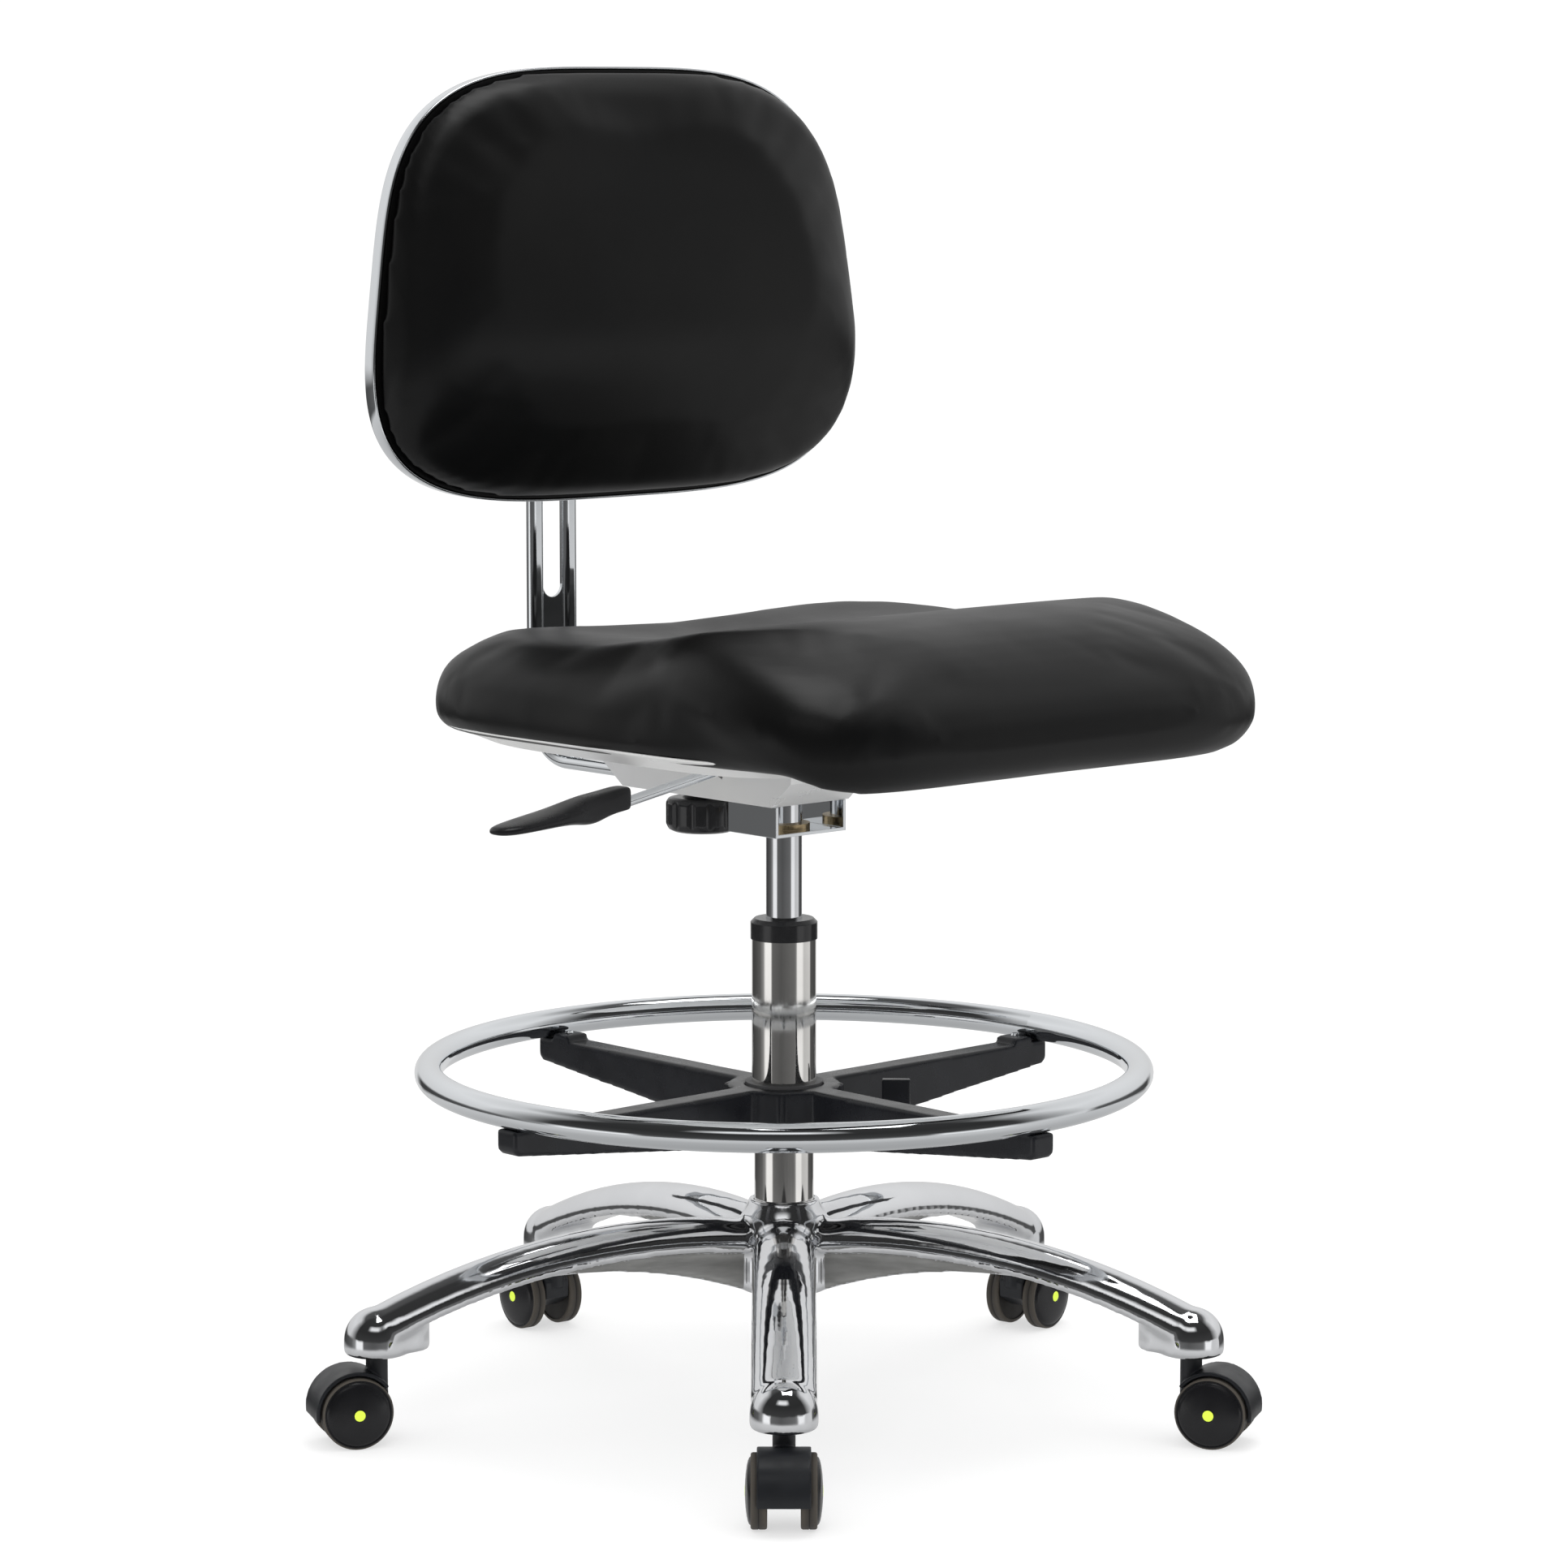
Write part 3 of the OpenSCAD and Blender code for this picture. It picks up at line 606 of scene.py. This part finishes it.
# Rise, middle and spread of each swell or dip in the seat's top: the dish, the thigh roll, the two sides
SEAT_SWELLS = [
    (-0.011, (0, 0.055), (0.11, 0.09)),
    (0.024, (0, SEAT_FRONT + 0.145), (math.inf, 0.125)),
    (-0.004, (-0.27, -0.035), (0.09, 0.08)),
    (-0.004, (0.27, -0.035), (0.09, 0.08)),
]
# The side valley's depth, its width along the seat, its place at height VALLEY_Z and its slant
VALLEY_DEPTH = 0.009
VALLEY_SPREAD = 0.060
VALLEY_Y = -0.050
VALLEY_Z = 0.611
VALLEY_SLANT = 2.5


def seat_top(x, y):
    """Height of the seat's upper skin, in metres: a dish between hip bolsters, and a thigh roll in front."""
    level = SEAT_LEVEL + 0 * x
    level += 0.002 * smooth_step(np.abs(x), 0.10, 0.20) * smooth_step(y, -0.03, 0.08)
    level += 0.002 * smooth_step(y, 0.06, 0.14)
    for rise, centre, spread in SEAT_SWELLS:
        level += rise * bump_at(x, y, centre, spread)
    return level


def side_valley(points):
    """Draws the seat's side in along a valley that runs from behind the thigh roll down and forward."""
    x, y, z = points.T
    middle = VALLEY_Y - (VALLEY_Z - z) * VALLEY_SLANT
    along = np.exp(-((y - middle) / VALLEY_SPREAD) ** 2)
    amount = VALLEY_DEPTH * along * smooth_step(np.abs(x), 0.16, 0.255)
    return np.column_stack([x - np.sign(x) * amount, y, z])


def seat_shape():
    """The seat's shell before it is swelled, lofted from the middle of its underside round to its top."""
    edge = outline(SEAT_HALF.x - SWELL, SEAT_HALF.y - SWELL, 5.3)
    widest = seat_low.z + 0.040
    frontness = smooth_step(-edge[:, 1] / SEAT_HALF.y, 0.35, 0.98)
    roll = 0.058 + 0.062 * frontness
    reach = np.linalg.norm(edge, axis=1)
    loops = []
    for depth in (0.12, 0.085, 0.06, 0.042, 0.030, 0.020, 0.012, 0.006, 0.002, 0.0):
        xy = edge * (1 - depth / reach)[:, None]
        lip = smooth_step(-(xy[:, 1] + SEAT_MID.y), 0.247, 0.283)
        under = SEAT_UNDER * (1 - lip) + SEAT_LIP * lip
        profile = rounded(np.clip(depth / (0.024 + 0.014 * lip), 0, 1), 2.3)
        z = widest + (under - widest) * profile
        loops.append(np.column_stack([xy[:, 0], xy[:, 1] + SEAT_MID.y, z]))
    for share in shares_inwards(26, 1.7):
        xy = edge * (1 - share)
        profile = rounded(np.clip(reach * share / roll, 0, 1), 2.2)
        x, y = xy[:, 0], xy[:, 1] + SEAT_MID.y
        z = widest + (seat_top(x, y) - SWELL - widest) * profile
        loops.append(np.column_stack([x, y, z]))
    skin = closed_loft("seat_upholstery", [side_valley(loop).tolist() for loop in loops])
    return new_object("seat_upholstery", skin)


def seat_upholstery():
    seat = seat_shape()
    remeshed(seat, VOXEL, VOXEL_PASSES)
    held_below = SEAT_UNDER + 0.012
    inflate(seat, lambda co: co[:, 2] < held_below)
    finish_cushion(seat, "seat_frame", "seat_cushion")


back_low, back_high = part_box("back_cushion")
shell_low, shell_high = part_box("back_shell")
BACK_MID_Z = (shell_low.z + shell_high.z) / 2
BACK_HALF_Z = (shell_high.z - shell_low.z) / 2
# Half of the full width that the taper starts from; the outline itself is a little narrower
BACK_HALF_X = 257 * MM
BACK_TAPER = 0.84
BACK_SQUARENESS = 3.6
BACK_ROLL = 0.056


def back_front(x, z):
    """How far the back cushion's face stands out from its shell: fullest at the lumbar line."""
    full = back_high.y - back_low.y - SWELL
    level = full - 0.013 + 0 * x
    level += 0.013 * bump_at(x, z, (0, BACK_MID_Z - 0.045), (0.24, 0.075))
    level -= 0.007 * bump_at(x, z, (0, BACK_MID_Z + 0.115), (0.20, 0.040))
    level -= 0.006 * smooth_step(z, BACK_MID_Z - 0.02, BACK_MID_Z + 0.16)
    level -= 0.013 * smooth_step(-z, 0.03 - BACK_MID_Z, 0.15 - BACK_MID_Z)
    return level


def back_shape():
    """The back's shell before it is swelled."""
    inset = 1.2 * MM + SWELL
    edge = outline(BACK_HALF_X - inset, BACK_HALF_Z - inset, BACK_SQUARENESS, BACK_TAPER)
    reach = np.linalg.norm(edge, axis=1)
    widest = 0.013
    # From the middle of the back face out to its edge, which fits inside the rim, then forward
    shapes = []
    for depth, out in ((0.12, 0.0004), (0.06, 0.0004), (0.03, 0.0004), (0.012, 0.0004), (0.004, 0.0004),
                       (-0.0018, 0.0006), (-0.0026, 0.003), (-0.0022, 0.006), (-0.0012, 0.009),
                       (0.0, widest)):
        shapes.append((edge * (1 - depth / reach)[:, None], np.full(len(edge), out)))
    for share in shares_inwards(26, 1.6):
        xz = edge * (1 - share)
        profile = rounded(np.clip(reach * share / BACK_ROLL, 0, 1), 2.2)
        full = back_front(xz[:, 0], xz[:, 1] + BACK_MID_Z)
        shapes.append((xz, widest + (full - widest) * profile))
    loops = [
        np.column_stack([xz[:, 0], back_high.y - out, xz[:, 1] + BACK_MID_Z]).tolist() for xz, out in shapes
    ]
    return new_object("back_upholstery", closed_loft("back_upholstery", loops))


def back_upholstery():
    cushion = back_shape()
    remeshed(cushion, VOXEL, VOXEL_PASSES)
    held_behind = back_high.y - 0.007
    inflate(cushion, lambda co: co[:, 1] > held_behind)
    finish_cushion(cushion, "backrest", "back_cushion")


seat_upholstery()
back_upholstery()


# --- Pressed pans -------------------------------------------------------------

def pressed_pan(name, half_a, half_b, squareness, taper, section, place):
    """A pressed sheet pan with rolled edges. Its section holds pairs of inset and height."""
    loops = []
    for inset, height in section:
        ring = outline(half_a - inset, half_b - inset, squareness, taper, 160)
        loops.append([place(a, b, height) for a, b in ring])
    return new_object(name, closed_loft(name, loops))


def quarter(radius, height):
    """Points of a rolled edge, from the side face to the flat."""
    turns = [math.pi / 2 * k / 7 for k in range(1, 8)]
    return [(radius * (1 - math.cos(turn)), height + radius * math.sin(turn)) for turn in turns]


def back_pan():
    """The bright rim round the back cushion, rolled into a flat back."""
    thick = shell_high.y - shell_low.y
    lip, roll = 2.2 * MM, 7 * MM
    inside = thick - 2 * MM
    section = [(0.10, inside), (0.03, inside), (lip + 0.0006, inside), (lip, inside - 0.0008)]
    section += [(lip, 0.0036)]
    for k in range(9):
        turn = math.pi * k / 8
        section.append((lip / 2 * (1 + math.cos(turn)), lip / 2 * (1 - math.sin(turn))))
    section += [(0.0, 0.003)]
    section += quarter(roll, thick - roll)
    section += [(0.03, thick), (0.08, thick)]
    front = shell_low.y
    pan = pressed_pan(
        "back_rim_pan", BACK_HALF_X, BACK_HALF_Z, BACK_SQUARENESS, BACK_TAPER, section,
        lambda a, b, height: (a, front + height, b + BACK_MID_Z))
    paint(pan, CHROME)
    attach(pan, "backrest")
    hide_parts("back_shell")


def seat_pan():
    """The plated pan under the seat."""
    low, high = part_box("seat_pan")
    middle = (low + high) / 2
    half = (high - low) / 2
    # From the flat floor up the sloping side to a rolled rim, and back down inside
    section = [
        (0.10, 0.0), (0.030, 0.0), (0.025, 0.0003), (0.021, 0.0014), (0.017, 0.0032), (0.004, 0.0094),
        (-0.0065, 0.0134), (-0.0080, 0.0144), (-0.0083, 0.0152), (-0.0076, 0.0158), (-0.0066, 0.0154),
        (0.004, 0.0110), (0.018, 0.0046), (0.030, 0.0018), (0.05, 0.0016),
    ]
    pan = pressed_pan(
        "seat_pan_pressing", half.x, half.y, 5, 1.0, section,
        lambda a, b, height: (a, middle.y + b, low.z + height))
    paint(pan, PLATED)
    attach(pan, "seat_frame")
    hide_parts("seat_pan")


back_pan()
seat_pan()


# --- Height lever's grip --------------------------------------------------------

def lever_grip():
    """A flat paddle: thick square neck, a finger bump under it, and a thin rounded blade."""
    low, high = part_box("lever_paddle")
    length = high.x - low.x
    # Share of the length from the neck, then half width, half thickness and centre height in millimetres
    stations = [
        (0.000, 7.0, 8.0, 496), (0.012, 8.6, 9.0, 496), (0.08, 9.3, 9.3, 495.5), (0.17, 9.8, 9.6, 493.5),
        (0.25, 11.0, 11.0, 491.0), (0.33, 13.0, 11.0, 489.8), (0.42, 15.2, 8.6, 489.3),
        (0.55, 16.6, 6.4, 487.2), (0.70, 17.0, 5.2, 485.0), (0.84, 15.6, 4.3, 483.0),
        (0.92, 12.6, 3.7, 482.0), (0.97, 8.4, 2.8, 481.6), (0.995, 3.6, 1.4, 481.4),
    ]
    loops = []
    for share, half_w, half_t, z in stations:
        x = high.x - share * length
        square = 5 - 2.4 * min(share / 0.35, 1)
        ring = outline(half_w * MM, half_t * MM, square, steps=40)
        loops.append([(x, a, z * MM + b) for a, b in ring])
    grip = new_object("lever_grip", closed_loft("lever_grip", loops))
    add_division(grip, 2)
    apply_modifiers(grip)
    grip.data.shade_smooth()
    paint(grip, BLACK_PLASTIC)
    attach(grip, "lever")
    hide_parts("lever_paddle")


lever_grip()


# --- Studio ---------------------------------------------------------------------

WORLD_STRENGTH = 1.08
FLOOR_BASE = 0.42
FLOOR_GLOW = 0.60
DOME_RADIUS = 9
BOX_WHITE = 0.9

# Brightness against elevation in degrees, on the camera's side of the set and behind it
FRONT_STOPS = [(-90, 0.38), (-40, 0.46), (-14, 0.66), (-8, 0.62), (0, 0.05), (30, 0.03), (90, 0.04)]
BACK_STOPS = [
    (-90, 0.38), (-40, 0.46), (-14, 0.60), (0, 0.66), (30, 0.80), (46, 0.70), (58, 0.10), (90, 0.04),
]
# The band of elevation in which the flags stand
BAND_STOPS = [(-90, 0), (-14, 0), (-11, 1), (-1, 1), (4, 0), (90, 0)]
# Brightness of the soft boxes and dark flags, in degrees to the right of the camera's side
FLAG_STOPS = [
    (-180, 0.70), (-158, 0.70), (-150, 0.05), (-116, 0.08), (-94, 0.12), (-78, 0.30), (-70, 1.05),
    (-48, 1.05), (-43, 0.14), (-10, 0.10), (38, 0.16), (44, 0.25), (49, 1.0), (68, 1.0), (76, 0.62),
    (104, 0.70), (110, 0.10), (150, 0.06), (157, 0.70), (180, 0.70),
]
# A soft box above the camera's side: its elevations and its turns
BOX_STOPS = [(-90, 0), (36, 0), (43, 1), (49, 1), (57, 0), (90, 0)]
BOX_TURNS = [(-180, 0), (-36, 0), (-20, 1), (8, 1), (24, 0), (180, 0)]
# Where the camera's side lies on the dome's own turn, which starts at -X and goes anticlockwise
FRONT_TURN = 48


def height_stops(stops):
    """The stops as shares of the way from the lowest point of the dome to its highest."""
    return [((degrees + 90) / 180, value) for degrees, value in stops]


def turn_stops(stops):
    """The stops as shares of a full turn, rotated so that the front is at FRONT_TURN degrees."""
    shares = sorted(((FRONT_TURN + degrees) % 360 / 360, value) for degrees, value in stops)
    first, last = shares[0], shares[-1]
    join = first[1] + (last[1] - first[1]) * first[0] / (first[0] + 1 - last[0])
    return [(0.0, join)] + shares + [(1.0, join)]


# 1 behind the set and 0 in front of it
BACK_SHARE = turn_stops([(-180, 1), (-105, 1), (-75, 0), (75, 0), (105, 1), (179.9, 1)])


def fill_ramp(ramp, stops):
    """Sets a colour ramp's stops to greys."""
    elements = ramp.color_ramp.elements
    while len(elements) > 1:
        elements.remove(elements[-1])
    elements[0].position = stops[0][0]
    elements[0].color = (*[stops[0][1]] * 3, 1)
    for position, value in stops[1:]:
        elements.new(position).color = (value, value, value, 1)


def white_world():
    world = bpy.data.worlds.new("studio")
    world.use_nodes = True
    background = world.node_tree.nodes["Background"]
    background.inputs["Color"].default_value = (1, 1, 1, 1)
    background.inputs["Strength"].default_value = WORLD_STRENGTH
    bpy.context.scene.world = world


def reflection_dome():
    """What bright metal sees: a pale sweep, soft boxes and flags round the set, and a dark roof in front."""
    bpy.ops.mesh.primitive_uv_sphere_add(segments=64, ring_count=32, radius=DOME_RADIUS)
    dome = bpy.context.object
    dome.name = "reflection_dome"
    dome.visible_camera = False
    dome.visible_diffuse = False
    dome.visible_shadow = False
    dome.visible_transmission = False
    material = bpy.data.materials.new("reflection_dome")
    material.use_nodes = True
    nodes, links = material.node_tree.nodes, material.node_tree.links
    nodes.clear()

    def math_node(kind, first, second=None):
        node = nodes.new("ShaderNodeMath")
        node.operation = kind
        links.new(first, node.inputs[0])
        if second is not None:
            links.new(second, node.inputs[1])
        return node.outputs["Value"]

    def remapped(value, low, high):
        node = nodes.new("ShaderNodeMapRange")
        node.inputs["From Min"].default_value = low
        node.inputs["From Max"].default_value = high
        links.new(value, node.inputs["Value"])
        return node.outputs["Result"]

    def ramp(value, stops):
        node = nodes.new("ShaderNodeValToRGB")
        fill_ramp(node, stops)
        links.new(value, node.inputs["Fac"])
        return node.outputs["Color"]

    def mixed(factor, first, second):
        node = nodes.new("ShaderNodeMix")
        node.data_type = "RGBA"
        links.new(factor, node.inputs["Factor"])
        links.new(first, node.inputs["A"])
        links.new(second, node.inputs["B"])
        return node.outputs["Result"]

    place = nodes.new("ShaderNodeTexCoord")
    unit = nodes.new("ShaderNodeVectorMath")
    unit.operation = "NORMALIZE"
    split = nodes.new("ShaderNodeSeparateXYZ")
    links.new(place.outputs["Object"], unit.inputs[0])
    links.new(unit.outputs["Vector"], split.inputs["Vector"])
    height = remapped(math_node("ARCSINE", split.outputs["Z"]), -math.pi / 2, math.pi / 2)
    around = remapped(math_node("ARCTAN2", split.outputs["Y"], split.outputs["X"]), -math.pi, math.pi)
    front_sweep = ramp(height, height_stops(FRONT_STOPS))
    back_sweep = ramp(height, height_stops(BACK_STOPS))
    sweep = mixed(ramp(around, BACK_SHARE), front_sweep, back_sweep)
    flagged = mixed(ramp(height, height_stops(BAND_STOPS)), sweep, ramp(around, turn_stops(FLAG_STOPS)))
    white = nodes.new("ShaderNodeRGB")
    white.outputs["Color"].default_value = (BOX_WHITE, BOX_WHITE, BOX_WHITE, 1)
    box = math_node("MULTIPLY", ramp(height, height_stops(BOX_STOPS)), ramp(around, turn_stops(BOX_TURNS)))
    whole = mixed(box, flagged, white.outputs["Color"])
    glow = nodes.new("ShaderNodeEmission")
    links.new(whole, glow.inputs["Color"])
    out = nodes.new("ShaderNodeOutputMaterial")
    links.new(glow.outputs["Emission"], out.inputs["Surface"])
    dome.data.materials.append(material)


def floor():
    bpy.ops.mesh.primitive_plane_add(size=600, location=(0, 0, 0))
    ground = bpy.context.object
    ground.name = "floor"
    material = bpy.data.materials.new("floor")
    material.use_nodes = True
    shader = material.node_tree.nodes["Principled BSDF"]
    shader.inputs["Base Color"].default_value = (FLOOR_BASE, FLOOR_BASE, FLOOR_BASE, 1)
    shader.inputs["Roughness"].default_value = 0.7
    shader.inputs["Specular IOR Level"].default_value = 0
    # The floor is a light table, so shadows on it stay faint
    shader.inputs["Emission Color"].default_value = (1, 1, 1, 1)
    shader.inputs["Emission Strength"].default_value = FLOOR_GLOW
    ground.visible_glossy = False
    ground.data.materials.append(material)


def area_light(name, location, target, size, power):
    data = bpy.data.lights.new(name, "AREA")
    data.shape = "RECTANGLE"
    data.size, data.size_y = size
    data.energy = power
    light = new_object(name, data)
    light.location = location
    light.rotation_euler = (Vector(target) - Vector(location)).to_track_quat("-Z", "Y").to_euler()
    return light


white_world()
reflection_dome()
floor()
area_light("overhead_box", (0.3, -0.2, 3.2), (0, 0, 0.4), (2.2, 1.6), 30)
key_box = area_light("key_box", (-2.6, -2.2, 2.4), (0, 0, 0.6), (1.4, 1.4), 26)
key_box.visible_glossy = False
bpy.context.scene.view_settings.view_transform = "Standard"
